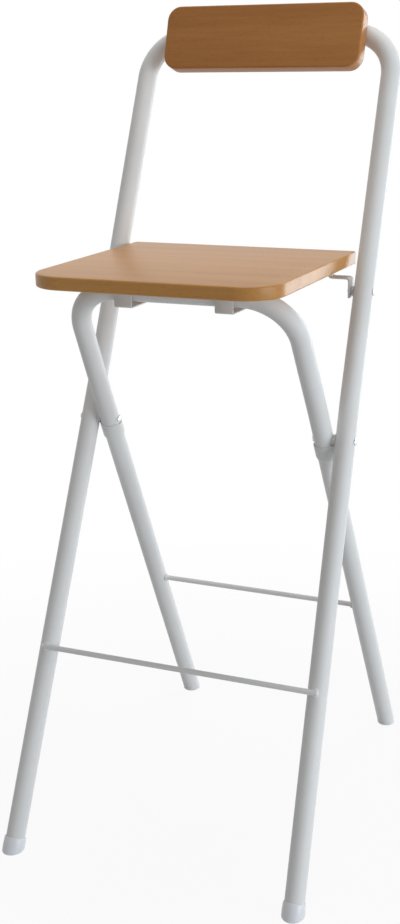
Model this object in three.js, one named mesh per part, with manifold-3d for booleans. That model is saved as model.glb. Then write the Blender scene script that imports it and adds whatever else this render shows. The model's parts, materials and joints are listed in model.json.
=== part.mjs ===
// Folding bar stool with a backrest: two crossed tube frames, a wooden seat and a wooden backrest.
// Millimetres, Z up, the front of the stool faces -Y.
// The origin is on the floor, under the middle of the stool.
import * as THREE from "three";
import { mergeVertices } from "three/addons/utils/BufferGeometryUtils.js";
import Module from "manifold-3d";

const wasm = await Module();
wasm.setup();

// Clearances
const seating_gap = 0.3; // between a piece and the piece that it sits on
const bore_gap = 0.3; // round a rivet or a screw, on the radius
const cut_overrun = 4; // how far a cutting body reaches past what it cuts
const merge_distance = 0.0001; // corners this close are one corner

// Frame tubes
const tube_diameter = 25;
const tube_wall = 1.5;
const tube_radius = tube_diameter / 2;
const tube_bore_radius = tube_radius - tube_wall;
const splay_bend_radius = 300; // centre line of the slight outward bend of the legs

// Main pivot, where the two frames cross
const pivot_height = 525;

// Seat board, between the sides of the front frame
const seat_width = 309;
const seat_depth = 305;
const seat_thickness = 16;
const seat_front_corner_radius = 47;
const seat_rear_corner_radius = 10;
const seat_edge_rounding = 2.4;
const seat_tilt_angle = THREE.MathUtils.degToRad(1.26); // the front edge is the higher one
const seat_pivot_above_main_pivot = 189; // along the front frame
const seat_rear_overhang = 29.5; // seat board behind the seat pivot

// Front frame: the long inverted U that carries the backrest
const front_lean_angle = THREE.MathUtils.degToRad(24.7);
const front_top_past_seat = 14.5; // top of the frame's centre line, outside the side of the seat
const front_widening_to_pivot = 8; // on each side, from the top down to the main pivot
const front_splay = 17; // on each side, from the main pivot down to the floor
const front_half_width_at_top = seat_width / 2 + front_top_past_seat;
const front_half_width_at_pivot = front_half_width_at_top + front_widening_to_pivot;
const front_half_width_at_floor = front_half_width_at_pivot + front_splay;
const front_splay_bend_above_pivot = 50;
const front_top_above_pivot = 524;
const front_corner_bend_radius = 58; // centre line of the two top bends

// Rear frame: the short inverted U and its two lower legs, inside the front frame
const rear_lean_angle = THREE.MathUtils.degToRad(27);
const gap_between_frames = 3; // at the main pivot
const rear_narrowing_to_top = 7; // on each side, from the main pivot up to the crossbar
const rear_splay = 13; // on each side, from the main pivot down to the floor
const rear_half_width_at_pivot = front_half_width_at_pivot - tube_diameter - gap_between_frames;
const rear_half_width_at_top = rear_half_width_at_pivot - rear_narrowing_to_top;
const rear_half_width_at_floor = rear_half_width_at_pivot + rear_splay;
const rear_splay_bend_above_pivot = 45;
const crossbar_above_pivot = 216;
const rear_corner_bend_radius = 64; // centre line of the two top bends

// Sockets of the lower rear legs
const socket_rim_below_pivot = 3.5;
const socket_depth = 22;
const socket_taper_length = 4;
const socket_rim_chamfer = 0.5;
const socket_notch_clearance = 0.6;

// Seat brackets
const bracket_thickness = 2.5;
const bracket_width = 16.5;
const bracket_drop = 12; // the outer part of the arm runs this far under the seat
const bracket_bend_radius = 4;
const bracket_foot_length = 34;
const bracket_step_length = 9;
const bracket_arm_length = 23; // from the step to the hanging leg
const bracket_side_clearance = 1; // between the seat side and the hanging leg
const bracket_below_pivot = 8;
const bracket_screw_spacing = 16;
const bracket_screw_margin = 8;

// Guide straps under the seat, in which the crossbar slides
const guide_width = 23;
const guide_thickness = 1.5;
const guide_from_bend = 1.5; // between each strap and the start of the crossbar's bend
const guide_middle_from_frame_side = rear_corner_bend_radius + guide_from_bend + guide_width / 2;
const guide_spacing = 2 * (rear_half_width_at_top - guide_middle_from_frame_side);
const guide_play = 4.5; // room under the crossbar, which keeps the opened linkage free
const guide_end_clearance = 1.5;
const guide_rear_stop_before_pivot = 6;
const guide_bend_radius = 2.5;
const guide_foot_length = 18;
const guide_screw_margin = 8;

// Backrest
const backrest_width = 270;
const backrest_height = 82;
const backrest_thickness = 22;
const backrest_corner_radius = 18;
const backrest_edge_rounding = 2.4;
const backrest_below_top_tube = 12; // middle of the board under the middle of the top tube
const backrest_steepening = THREE.MathUtils.degToRad(6); // the board stands this much steeper than the frame
const backrest_gap = 0.5; // to the top tube, so that the board's ends clear the bends
const backrest_screw_spacing = 150;

// Rungs
const rung_diameter = 7;
const front_rung_below_pivot = 310; // along the front frame
const front_rung_sink = 1; // the rung lies this deep in the saddle of each leg
const front_rung_past_leg_axis = 5;
const front_rung_end_rounding = 2;
const rear_rung_below_pivot = 318; // along the rear frame
const weld_length = 9;
const weld_height = 5;
const weld_thickness = 4;
const weld_collar_radius = 5.2;
const weld_collar_length = 4;

// Rivets
const rivet_radius = 3;
const main_rivet_head_radius = 4.6;
const seat_rivet_head_radius = 4.6;
const rivet_head_height = 2.4;
const rivet_tail_height = 2;
const rivet_tail_share = 0.85; // tail radius as a share of the head radius
const rivet_tail_edge_share = 0.35; // height of the tail's straight edge as a share of the tail
const rivet_dome_shares = [[1, 0.35], [0.8, 0.8], [0.4, 1]]; // radius and height of the dome's corners
const rivet_tail_flat_share = 0.6; // flat of the formed tail as a share of its radius
const main_spacer_radius = 7;
const seat_spacer_radius = 6;
const fold_angle = THREE.MathUtils.degToRad(37); // how far the frames close
const fold_sweep_steps = 4;

// Screws
const screw_radius = 2;
const screw_head_radius = 4.2;
const screw_head_height = 2.6;
const screw_bite = 11; // length in the wood
const screw_recess_width = 1;
const screw_recess_length = 4.4;
const screw_recess_depth = 1.2;
const screw_point_length = 3;
const screw_dome_share = 0.6; // flat top of the head as a share of its radius
const screw_edge_share = 0.5; // height of the head's straight edge as a share of the head

// Feet
const cap_wall = 1.2;
const cap_height = 17; // from the floor to the rim, along the leg
const cap_rim_rounding = 1;
const cap_flare = 0.5;
const cap_floor_thickness = 3;
const tread_groove_width = 1.6;
const tread_groove_depth = 1;
const tread_groove_spacing = 6;
const tread_groove_count = 3;
const plug_flange_thickness = 4;
const plug_flange_lip = 0.3; // how far the flange stands out past the tube
const plug_stem_length = 18;
const plug_stem_clearance = 0.4;

// Fineness of round shapes, in sides or steps
const tube_sides = 20;
const small_sides = 16;
const screw_sides = 12;
const corner_bend_steps = 8;
const splay_bend_steps = 2;
const strip_bend_steps = 4;
const board_corner_steps = 8;
const board_edge_steps = 3;
const weld_sides = 10;

// Materials
const white_paint = new THREE.MeshStandardMaterial({ color: 0xf0f0ee, roughness: 0.42, metalness: 0.05 });
const shaded_paint = new THREE.MeshStandardMaterial({ color: 0xdedcd8, roughness: 0.5, metalness: 0.2 });
const rivet_steel = new THREE.MeshStandardMaterial({ color: 0xd2d3d5, roughness: 0.35, metalness: 0.7 });
const screw_steel = new THREE.MeshStandardMaterial({ color: 0xb9bbbd, roughness: 0.35, metalness: 0.9 });
const beech = new THREE.MeshStandardMaterial({ color: 0xcaa578, roughness: 0.55, metalness: 0 });
const white_plastic = new THREE.MeshStandardMaterial({ color: 0xe8ecf1, roughness: 0.5, metalness: 0 });
const grey_plastic = new THREE.MeshStandardMaterial({ color: 0xd9dbdc, roughness: 0.6, metalness: 0 });

const stool = new THREE.Group();
stool.name = "folding_bar_stool";

const side_axis = new THREE.Vector3(1, 0, 0);
const up_axis = new THREE.Vector3(0, 1, 0); // axis of a lathe before it is turned
const main_pivot = new THREE.Vector3(0, 0, pivot_height);

// Adds a finished piece to the stool.
function addPiece(name, geometry, material) {
  const mesh = new THREE.Mesh(geometry, material);
  mesh.name = name;
  stool.add(mesh);
}

// Turns a closed surface into a solid that can be cut and joined.
function solidOf(geometry) {
  const bare = geometry.index ? geometry.toNonIndexed() : geometry.clone();
  bare.deleteAttribute("normal");
  bare.deleteAttribute("uv");
  const merged = mergeVertices(bare, merge_distance);
  const vertProperties = new Float32Array(merged.attributes.position.array);
  const triVerts = new Uint32Array(merged.index.array);
  return new wasm.Manifold(new wasm.Mesh({ numProp: 3, vertProperties, triVerts }));
}

// Turns a solid back into a surface with flat faces.
function surfaceOf(solid) {
  const mesh = solid.getMesh();
  const geometry = new THREE.BufferGeometry();
  geometry.setAttribute("position", new THREE.BufferAttribute(new Float32Array(mesh.vertProperties), 3));
  geometry.setIndex(new THREE.BufferAttribute(new Uint32Array(mesh.triVerts), 1));
  const flat = geometry.toNonIndexed();
  flat.computeVertexNormals();
  return flat;
}

// Cuts a list of bodies out of a piece.
function cut(piece, cutters) {
  let solid = solidOf(piece);
  for (const cutter of cutters) solid = solid.subtract(solidOf(cutter));
  return surfaceOf(solid);
}

// Joins several bodies into one piece.
function join(pieces) {
  let solid = solidOf(pieces[0]);
  for (const piece of pieces.slice(1)) solid = solid.add(solidOf(piece));
  return surfaceOf(solid);
}

// Keeps what two bodies share.
function common(piece, limit) {
  return surfaceOf(solidOf(piece).intersect(solidOf(limit)));
}

// Turns a body that was made round the lathe axis so that it runs from one point towards another.
function placeAlong(geometry, from, direction) {
  const turn = new THREE.Quaternion().setFromUnitVectors(up_axis, direction.clone().normalize());
  geometry.applyQuaternion(turn);
  geometry.translate(from.x, from.y, from.z);
  return geometry;
}

// A round bar between two points.
function roundBar(from, to, radius, sides) {
  const span = to.clone().sub(from);
  const bar = new THREE.CylinderGeometry(radius, radius, span.length(), sides);
  bar.translate(0, span.length() / 2, 0);
  return placeAlong(bar, from, span);
}

// A turned piece: outline points are [radius, distance along the axis].
function turned(outline, from, direction, sides) {
  const points = outline.map(([radius, along]) => new THREE.Vector2(radius, along));
  return placeAlong(new THREE.LatheGeometry(points, sides), from, direction);
}

// A box from its middle and its sizes.
function block(middle, width, depth, height) {
  const box = new THREE.BoxGeometry(width, depth, height);
  box.translate(middle.x, middle.y, middle.z);
  return box;
}

// A path that steps through listed places, close together in the bends and far apart on the straights.
class SteppedPath extends THREE.Curve {
  constructor(stations) {
    super();
    this.stations = stations;
  }
  locate(share, key) {
    const place = share * (this.stations.length - 1);
    const first = Math.min(Math.floor(place), this.stations.length - 2);
    const low = this.stations[first][key];
    const high = this.stations[first + 1][key];
    return low.clone().lerp(high, place - first);
  }
  getPoint(share) {
    return this.locate(share, "point");
  }
  getPointAt(share) {
    return this.locate(share, "point");
  }
  getTangent(share) {
    return this.locate(share, "heading").normalize();
  }
  getTangentAt(share) {
    return this.locate(share, "heading").normalize();
  }
}

// Places and headings along straight runs joined by round bends.
function bentStations(corners, radii, steps) {
  const stations = [];
  const first_heading = corners[1].clone().sub(corners[0]).normalize();
  stations.push({ point: corners[0].clone(), heading: first_heading });
  for (let i = 1; i < corners.length - 1; i++) {
    const heading_in = corners[i].clone().sub(corners[i - 1]).normalize();
    const heading_out = corners[i + 1].clone().sub(corners[i]).normalize();
    const turn = heading_in.angleTo(heading_out);
    const radius = radii[i - 1];
    const start = corners[i].clone().addScaledVector(heading_in, -radius * Math.tan(turn / 2));
    const inward = heading_out.clone().addScaledVector(heading_in, -heading_in.dot(heading_out)).normalize();
    for (let k = 0; k <= steps[i - 1]; k++) {
      const angle = (turn * k) / steps[i - 1];
      const point = start.clone();
      point.addScaledVector(heading_in, radius * Math.sin(angle));
      point.addScaledVector(inward, radius * (1 - Math.cos(angle)));
      const heading = heading_in.clone().multiplyScalar(Math.cos(angle));
      heading.addScaledVector(inward, Math.sin(angle));
      stations.push({ point, heading });
    }
  }
  const last = corners.length - 1;
  const last_heading = corners[last].clone().sub(corners[last - 1]).normalize();
  stations.push({ point: corners[last].clone(), heading: last_heading });
  return stations;
}

// Points evenly round a circle.
function circlePoints(radius, sides) {
  const points = [];
  for (let i = 0; i < sides; i++) {
    const angle = (2 * Math.PI * i) / sides;
    points.push(new THREE.Vector2(radius * Math.cos(angle), radius * Math.sin(angle)));
  }
  return points;
}

// An open-ended tube with a wall, along a stepped path.
function hollowTube(stations, outer_radius, inner_radius) {
  const ring = new THREE.Shape(circlePoints(outer_radius, tube_sides));
  ring.holes.push(new THREE.Path(circlePoints(inner_radius, tube_sides)));
  const extrudePath = new SteppedPath(stations);
  return new THREE.ExtrudeGeometry(ring, { steps: stations.length - 1, extrudePath, bevelEnabled: false });
}

// A bent flat strip: centre points in two directions, thickness across them, extruded by its width.
function bentStrip(centre_points, bend_radius, thickness, width) {
  const corners = centre_points.map(([across, height]) => new THREE.Vector3(across, height, 0));
  const bends = corners.length - 2;
  const radii = new Array(bends).fill(bend_radius);
  const steps = new Array(bends).fill(strip_bend_steps);
  const stations = bentStations(corners, radii, steps);
  const left = [];
  const right = [];
  for (const { point, heading } of stations) {
    const sideways = new THREE.Vector2(-heading.y, heading.x).multiplyScalar(thickness / 2);
    left.push(new THREE.Vector2(point.x + sideways.x, point.y + sideways.y));
    right.unshift(new THREE.Vector2(point.x - sideways.x, point.y - sideways.y));
  }
  const outline = new THREE.Shape([...left, ...right]);
  return new THREE.ExtrudeGeometry(outline, { depth: width, bevelEnabled: false });
}

// A board with round corners and softened edges, lying flat with its underside at zero height.
function board(half_width, front, back, front_radius, back_radius, thickness, rounding) {
  const outline = new THREE.Shape();
  const side = half_width - rounding;
  const low = front + rounding;
  const high = back - rounding;
  const low_radius = front_radius - rounding;
  const high_radius = back_radius - rounding;
  const quarter = Math.PI / 2;
  outline.moveTo(-side + low_radius, low);
  outline.lineTo(side - low_radius, low);
  outline.absarc(side - low_radius, low + low_radius, low_radius, -quarter, 0);
  outline.lineTo(side, high - high_radius);
  outline.absarc(side - high_radius, high - high_radius, high_radius, 0, quarter);
  outline.lineTo(-side + high_radius, high);
  outline.absarc(-side + high_radius, high - high_radius, high_radius, quarter, 2 * quarter);
  outline.lineTo(-side, low + low_radius);
  outline.absarc(-side + low_radius, low + low_radius, low_radius, 2 * quarter, 3 * quarter);
  const body = new THREE.ExtrudeGeometry(outline, {
    depth: thickness - 2 * rounding,
    curveSegments: board_corner_steps,
    bevelEnabled: true,
    bevelThickness: rounding,
    bevelSize: rounding,
    bevelSegments: board_edge_steps,
  });
  body.translate(0, 0, rounding);
  return body;
}

// Places on the two frames. The distance runs along the frame from the main pivot, upwards.
function onFrontFrame(side, half_width, along, forward = 0) {
  const back = along * Math.sin(front_lean_angle) - forward * Math.cos(front_lean_angle);
  const up = along * Math.cos(front_lean_angle) + forward * Math.sin(front_lean_angle);
  return new THREE.Vector3(side * half_width, back, pivot_height + up);
}
function onRearFrame(side, half_width, along) {
  const back = -along * Math.sin(rear_lean_angle);
  return new THREE.Vector3(side * half_width, back, pivot_height + along * Math.cos(rear_lean_angle));
}

// Half width of a straight run at a distance from the pivot.
function widthBetween(low_along, low_width, high_along, high_width, along) {
  return low_width + ((high_width - low_width) * (along - low_along)) / (high_along - low_along);
}
const front_floor_along = -pivot_height / Math.cos(front_lean_angle);
const rear_floor_along = -pivot_height / Math.cos(rear_lean_angle);
function frontWidthBelow(along) {
  return widthBetween(front_floor_along, front_half_width_at_floor, 0, front_half_width_at_pivot, along);
}
function rearWidthBelow(along) {
  return widthBetween(rear_floor_along, rear_half_width_at_floor, 0, rear_half_width_at_pivot, along);
}
const front_tube_end_above_floor =
  (cap_floor_thickness + tube_radius * Math.sin(front_lean_angle)) / Math.cos(front_lean_angle);
const front_splay_half_width = frontWidthBelow(front_splay_bend_above_pivot);
const rear_splay_half_width = rearWidthBelow(rear_splay_bend_above_pivot);
function frontWidthAbove(along) {
  const low = front_splay_bend_above_pivot;
  return widthBetween(low, front_splay_half_width, front_top_above_pivot, front_half_width_at_top, along);
}

// Pivot of the seat on the front frame.
const seat_pivot = onFrontFrame(0, 0, seat_pivot_above_main_pivot);
const seat_pivot_half_width = frontWidthAbove(seat_pivot_above_main_pivot);
const crossbar_middle = onRearFrame(0, 0, crossbar_above_pivot);

// The seat's own directions: forward along the board and square to it.
const seat_forward = new THREE.Vector3(0, -Math.cos(seat_tilt_angle), Math.sin(seat_tilt_angle));
const seat_up = new THREE.Vector3(0, Math.sin(seat_tilt_angle), Math.cos(seat_tilt_angle));
const pivot_to_crossbar = crossbar_middle.clone().sub(seat_pivot);
const crossbar_before_pivot = pivot_to_crossbar.dot(seat_forward);
const crossbar_below_seat = tube_radius + seating_gap;
const pivot_below_seat = crossbar_below_seat + pivot_to_crossbar.dot(seat_up);

// Moves a piece from the seat's own frame to its place.
// In that frame the pivot line is at y = 0 and the underside of the board is at z = 0.
function placeOnSeat(geometry) {
  geometry.translate(0, 0, pivot_below_seat);
  geometry.rotateX(-seat_tilt_angle);
  geometry.translate(seat_pivot.x, seat_pivot.y, seat_pivot.z);
  return geometry;
}

// A place in the seat's own frame, as a place in the stool.
function onSeat(x, y, z) {
  const place = new THREE.Vector3(x, 0, 0).add(seat_pivot);
  place.addScaledVector(seat_forward, -y);
  return place.addScaledVector(seat_up, z + pivot_below_seat);
}

// Screws

// A pan-head wood screw: the head's underside is at the given place and the shank points along the direction.
function woodScrew(place, direction, grip) {
  const length = grip + screw_bite;
  const outline = [
    [0, -screw_head_height],
    [screw_head_radius * screw_dome_share, -screw_head_height],
    [screw_head_radius, -screw_head_height * screw_edge_share],
    [screw_head_radius, 0],
    [screw_radius, 0],
    [screw_radius, length - screw_point_length],
    [0, length],
  ];
  const body = turned(outline, new THREE.Vector3(), up_axis, screw_sides);
  const recess_middle = new THREE.Vector3(0, (screw_recess_depth - cut_overrun) / 2 - screw_head_height, 0);
  const recess_height = screw_recess_depth + cut_overrun;
  const recess = [
    block(recess_middle, screw_recess_length, recess_height, screw_recess_width),
    block(recess_middle, screw_recess_width, recess_height, screw_recess_length),
  ];
  return placeAlong(cut(body, recess), place, direction);
}

// The bore that such a screw needs.
function screwBore(place, direction, length) {
  const start = place.clone().addScaledVector(direction, -cut_overrun);
  const end = place.clone().addScaledVector(direction, length + seating_gap);
  return roundBar(start, end, screw_radius + bore_gap, screw_sides);
}

// Front frame tube

const backrest_lean_angle = front_lean_angle - backrest_steepening;
const backrest_up = new THREE.Vector3(0, Math.sin(backrest_lean_angle), Math.cos(backrest_lean_angle));
const backrest_forward = new THREE.Vector3(0, -Math.cos(backrest_lean_angle), Math.sin(backrest_lean_angle));
const backrest_screws = [];
for (const side of [-1, 1]) {
  const place = onFrontFrame(side, backrest_screw_spacing / 2, front_top_above_pivot);
  place.addScaledVector(backrest_forward, -tube_radius - seating_gap);
  backrest_screws.push({ side, place });
}

function frontFrameTube() {
  const end_along = front_floor_along + front_tube_end_above_floor;
  const left = [
    onFrontFrame(-1, frontWidthBelow(end_along), end_along),
    onFrontFrame(-1, front_splay_half_width, front_splay_bend_above_pivot),
    onFrontFrame(-1, front_half_width_at_top, front_top_above_pivot),
  ];
  const right = left.map((place) => new THREE.Vector3(-place.x, place.y, place.z)).reverse();
  const corner_radius = front_corner_bend_radius;
  const radii = [splay_bend_radius, corner_radius, corner_radius, splay_bend_radius];
  const steps = [splay_bend_steps, corner_bend_steps, corner_bend_steps, splay_bend_steps];
  const tube = hollowTube(bentStations([...left, ...right], radii, steps), tube_radius, tube_bore_radius);
  const bores = [];
  for (const side of [-1, 1]) {
    bores.push(crossBore(main_pivot, side, front_half_width_at_pivot, rivet_radius + bore_gap));
    bores.push(crossBore(seat_pivot, side, seat_pivot_half_width, rivet_radius + bore_gap));
  }
  for (const { place } of backrest_screws) {
    bores.push(screwBore(place, backrest_forward, tube_diameter + cut_overrun));
  }
  addPiece("front_frame_tube", cut(tube, bores), white_paint);
}

// A bore from side to side through one tube.
function crossBore(centre, side, half_width, radius, reach = tube_radius) {
  const inner = centre.clone().setX(side * (half_width - reach - cut_overrun));
  const outer = centre.clone().setX(side * (half_width + reach + cut_overrun));
  return roundBar(inner, outer, radius, small_sides);
}

// Rear frame: upper tube

function rearUpperTube() {
  const end_along = -socket_rim_below_pivot - socket_depth + seating_gap;
  const left = [
    onRearFrame(-1, rearWidthBelow(end_along), end_along),
    onRearFrame(-1, rear_splay_half_width, rear_splay_bend_above_pivot),
    onRearFrame(-1, rear_half_width_at_top, crossbar_above_pivot),
  ];
  const right = left.map((place) => new THREE.Vector3(-place.x, place.y, place.z)).reverse();
  const corner_radius = rear_corner_bend_radius;
  const radii = [splay_bend_radius, corner_radius, corner_radius, splay_bend_radius];
  const steps = [splay_bend_steps, corner_bend_steps, corner_bend_steps, splay_bend_steps];
  const tube = hollowTube(bentStations([...left, ...right], radii, steps), tube_radius, tube_bore_radius);
  const bore_radius = rivet_radius + bore_gap;
  const bores = [-1, 1].map((side) => crossBore(main_pivot, side, rear_half_width_at_pivot, bore_radius));
  addPiece("rear_upper_tube", cut(tube, bores), white_paint);
}

// Rear frame: lower legs with a widened socket at the top

function rearLegAxis(side) {
  const top = onRearFrame(side, rearWidthBelow(-socket_rim_below_pivot), -socket_rim_below_pivot);
  const floor = onRearFrame(side, rear_half_width_at_floor, rear_floor_along);
  return { top, floor, heading: floor.clone().sub(top).normalize(), length: floor.distanceTo(top) };
}

function rearLeg(side, name) {
  const { top, heading, length } = rearLegAxis(side);
  const socket_inner = tube_radius + seating_gap;
  const socket_outer = socket_inner + tube_wall;
  const taper_end = socket_depth + socket_taper_length;
  const end = length + tube_diameter;
  const outline = [
    [socket_inner, 0],
    [socket_outer - socket_rim_chamfer, 0],
    [socket_outer, socket_rim_chamfer],
    [socket_outer, socket_depth],
    [tube_radius, taper_end],
    [tube_radius, end],
    [tube_bore_radius, end],
    [tube_bore_radius, socket_depth + tube_wall],
    [socket_inner, socket_depth],
    [socket_inner, 0],
  ];
  const tube = turned(outline, top, heading, tube_sides);
  const notch_radius = main_spacer_radius + socket_notch_clearance;
  const notch = crossBore(main_pivot, side, rear_half_width_at_pivot, notch_radius, socket_outer);
  addPiece(name, cut(tube, [notch, underFloor(plug_flange_thickness)]), white_paint);
}

// Everything under a level, wide enough for the whole stool.
function underFloor(level) {
  const span = 2 * pivot_height + 2 * front_half_width_at_floor;
  const middle = new THREE.Vector3(0, 0, level - pivot_height / 2);
  return block(middle, span, span, pivot_height);
}

// Rungs

function frontRung() {
  const along = -front_rung_below_pivot;
  const leg_half_width = frontWidthBelow(along);
  const rung_radius = rung_diameter / 2;
  const forward = tube_radius + rung_radius - front_rung_sink;
  const middle = onFrontFrame(0, 0, along, forward);
  const half_length = leg_half_width + front_rung_past_leg_axis;
  const start = middle.clone().setX(-half_length);
  const outline = [
    [0, 0],
    [rung_radius - front_rung_end_rounding, 0],
    [rung_radius, front_rung_end_rounding],
    [rung_radius, 2 * half_length - front_rung_end_rounding],
    [rung_radius - front_rung_end_rounding, 2 * half_length],
    [0, 2 * half_length],
  ];
  const bodies = [turned(outline, start, side_axis, small_sides)];
  const legs = [];
  for (const side of [-1, 1]) {
    for (const offset of [-rung_radius, rung_radius]) {
      const bead = new THREE.SphereGeometry(1, weld_sides, weld_sides);
      bead.scale(weld_length / 2, weld_thickness / 2, weld_height / 2);
      bead.rotateX(-front_lean_angle);
      const bead_place = onFrontFrame(side, leg_half_width, along + offset, tube_radius);
      bead.translate(bead_place.x, bead_place.y, bead_place.z);
      bodies.push(bead);
    }
    const low = onFrontFrame(side, front_half_width_at_floor, front_floor_along);
    const high = onFrontFrame(side, front_half_width_at_pivot, 0);
    legs.push(roundBar(low, high, tube_radius + seating_gap, tube_sides));
  }
  addPiece("front_rung", cut(join(bodies), legs), white_paint);
}

function rearRung() {
  const along = -rear_rung_below_pivot;
  const leg_half_width = rearWidthBelow(along);
  const start = onRearFrame(-1, leg_half_width, along);
  const span = 2 * leg_half_width;
  const rung_radius = rung_diameter / 2;
  const collar_start = tube_radius + seating_gap;
  const collar_end = collar_start + weld_collar_length;
  const outline = [
    [0, 0],
    [weld_collar_radius, 0],
    [weld_collar_radius, collar_start],
    [rung_radius, collar_end],
    [rung_radius, span - collar_end],
    [weld_collar_radius, span - collar_start],
    [weld_collar_radius, span],
    [0, span],
  ];
  const legs = [];
  for (const side of [-1, 1]) {
    const { top, floor } = rearLegAxis(side);
    legs.push(roundBar(top, floor, tube_radius + seating_gap, tube_sides));
  }
  addPiece("rear_rung", cut(turned(outline, start, side_axis, small_sides), legs), white_paint);
}

// Rivets and spacers at the pivots

function rivet(name, centre, side, inner_x, outer_x, head_radius) {
  const outward = side_axis.clone().multiplyScalar(side);
  const grip = outer_x - inner_x;
  const tail_radius = head_radius * rivet_tail_share;
  const tail_edge = rivet_tail_height * rivet_tail_edge_share;
  const outline = [
    [0, -rivet_tail_height],
    [tail_radius * rivet_tail_flat_share, -rivet_tail_height],
    [tail_radius, -tail_edge],
    [tail_radius, 0],
    [rivet_radius, 0],
    [rivet_radius, grip],
    [head_radius, grip],
    ...rivet_dome_shares.map(([across, up]) => [head_radius * across, grip + rivet_head_height * up]),
    [0, grip + rivet_head_height],
  ];
  addPiece(name, turned(outline, centre.clone().setX(side * inner_x), outward, small_sides), rivet_steel);
}

// A plain ring round a rivet, hollowed to sit on the tubes beside it.
function spacer(name, centre, side, inner_x, outer_x, radius, hollows) {
  const from = centre.clone().setX(side * inner_x);
  const to = centre.clone().setX(side * outer_x);
  const bore = crossBore(centre, side, (inner_x + outer_x) / 2, rivet_radius + bore_gap);
  addPiece(name, cut(roundBar(from, to, radius, tube_sides), [bore, ...hollows]), grey_plastic);
}

function frontLegHollow(side) {
  const low = onFrontFrame(side, front_half_width_at_floor, front_floor_along);
  const high = onFrontFrame(side, front_splay_half_width, front_splay_bend_above_pivot);
  return roundBar(low, high, tube_radius + seating_gap, tube_sides);
}

// The rear tube at rest and at steps of the fold, so that the spacer stays clear of it all the way.
function rearLegSweep(side) {
  const bodies = [];
  for (let i = 0; i <= fold_sweep_steps; i++) {
    const low = onRearFrame(side, rearWidthBelow(-tube_diameter), -tube_diameter);
    const high = onRearFrame(side, rearWidthBelow(tube_diameter), tube_diameter);
    const body = roundBar(low, high, tube_radius + seating_gap, tube_sides);
    body.translate(0, 0, -pivot_height);
    body.rotateX((-fold_angle * i) / fold_sweep_steps);
    body.translate(0, 0, pivot_height);
    bodies.push(body);
  }
  return bodies;
}

function mainPivots() {
  for (const [side, label] of [[-1, "left"], [1, "right"]]) {
    const inner_x = rear_half_width_at_pivot - tube_radius - seating_gap;
    const outer_x = front_half_width_at_pivot + tube_radius + seating_gap;
    rivet("main_pivot_rivet_" + label, main_pivot, side, inner_x, outer_x, main_rivet_head_radius);
    const hollows = [frontLegHollow(side), ...rearLegSweep(side)];
    const from = rear_half_width_at_pivot;
    const to = front_half_width_at_pivot;
    spacer("main_pivot_spacer_" + label, main_pivot, side, from, to, main_spacer_radius, hollows);
  }
}

const bracket_inner_x = seat_width / 2 + bracket_side_clearance;
const bracket_outer_x = bracket_inner_x + bracket_thickness;

function seatPivots() {
  for (const [side, label] of [[-1, "left"], [1, "right"]]) {
    const inner_x = bracket_inner_x - seating_gap;
    const outer_x = seat_pivot_half_width + tube_radius + seating_gap;
    rivet("seat_pivot_rivet_" + label, seat_pivot, side, inner_x, outer_x, seat_rivet_head_radius);
    const low = onFrontFrame(side, front_splay_half_width, front_splay_bend_above_pivot);
    const high = onFrontFrame(side, front_half_width_at_top, front_top_above_pivot);
    const hollow = roundBar(low, high, tube_radius + seating_gap, tube_sides);
    const from = bracket_outer_x + seating_gap;
    const to = seat_pivot_half_width;
    spacer("seat_pivot_spacer_" + label, seat_pivot, side, from, to, seat_spacer_radius, [hollow]);
  }
}

// Seat and what is fixed under it

const bracket_reach = bracket_foot_length + bracket_step_length + bracket_arm_length;
const bracket_foot_inner_x = bracket_inner_x - bracket_reach;
const seat_screws = [];
for (const side of [-1, 1]) {
  const first_x = side * (bracket_foot_inner_x + bracket_screw_margin);
  const head_z = -bracket_thickness - 2 * seating_gap;
  const grip = bracket_thickness + 2 * seating_gap;
  const label = side < 0 ? "left" : "right";
  for (const [i, share] of [[1, 0], [2, 1]]) {
    const place = onSeat(first_x + side * share * bracket_screw_spacing, 0, head_z);
    seat_screws.push({ name: "bracket_screw_" + label + "_" + i, place, grip });
  }
}
const guide_front = -crossbar_before_pivot - tube_radius - guide_end_clearance;
const guide_rear = -guide_rear_stop_before_pivot;
for (const side of [-1, 1]) {
  const head_z = -guide_thickness - 2 * seating_gap;
  const grip = guide_thickness + 2 * seating_gap;
  const label = side < 0 ? "left" : "right";
  const front_y = guide_front - guide_foot_length + guide_screw_margin;
  const rear_y = guide_rear + guide_foot_length - guide_screw_margin;
  for (const [end, y] of [["front", front_y], ["rear", rear_y]]) {
    const place = onSeat((side * guide_spacing) / 2, y, head_z);
    seat_screws.push({ name: "guide_screw_" + label + "_" + end, place, grip });
  }
}

function seatBoard() {
  const back = seat_rear_overhang;
  const front = back - seat_depth;
  const radii = [seat_front_corner_radius, seat_rear_corner_radius];
  const body = board(seat_width / 2, front, back, ...radii, seat_thickness, seat_edge_rounding);
  const bores = seat_screws.map(({ place, grip }) => screwBore(place, seat_up, grip + screw_bite));
  addPiece("seat_board", cut(placeOnSeat(body), bores), beech);
}

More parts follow.
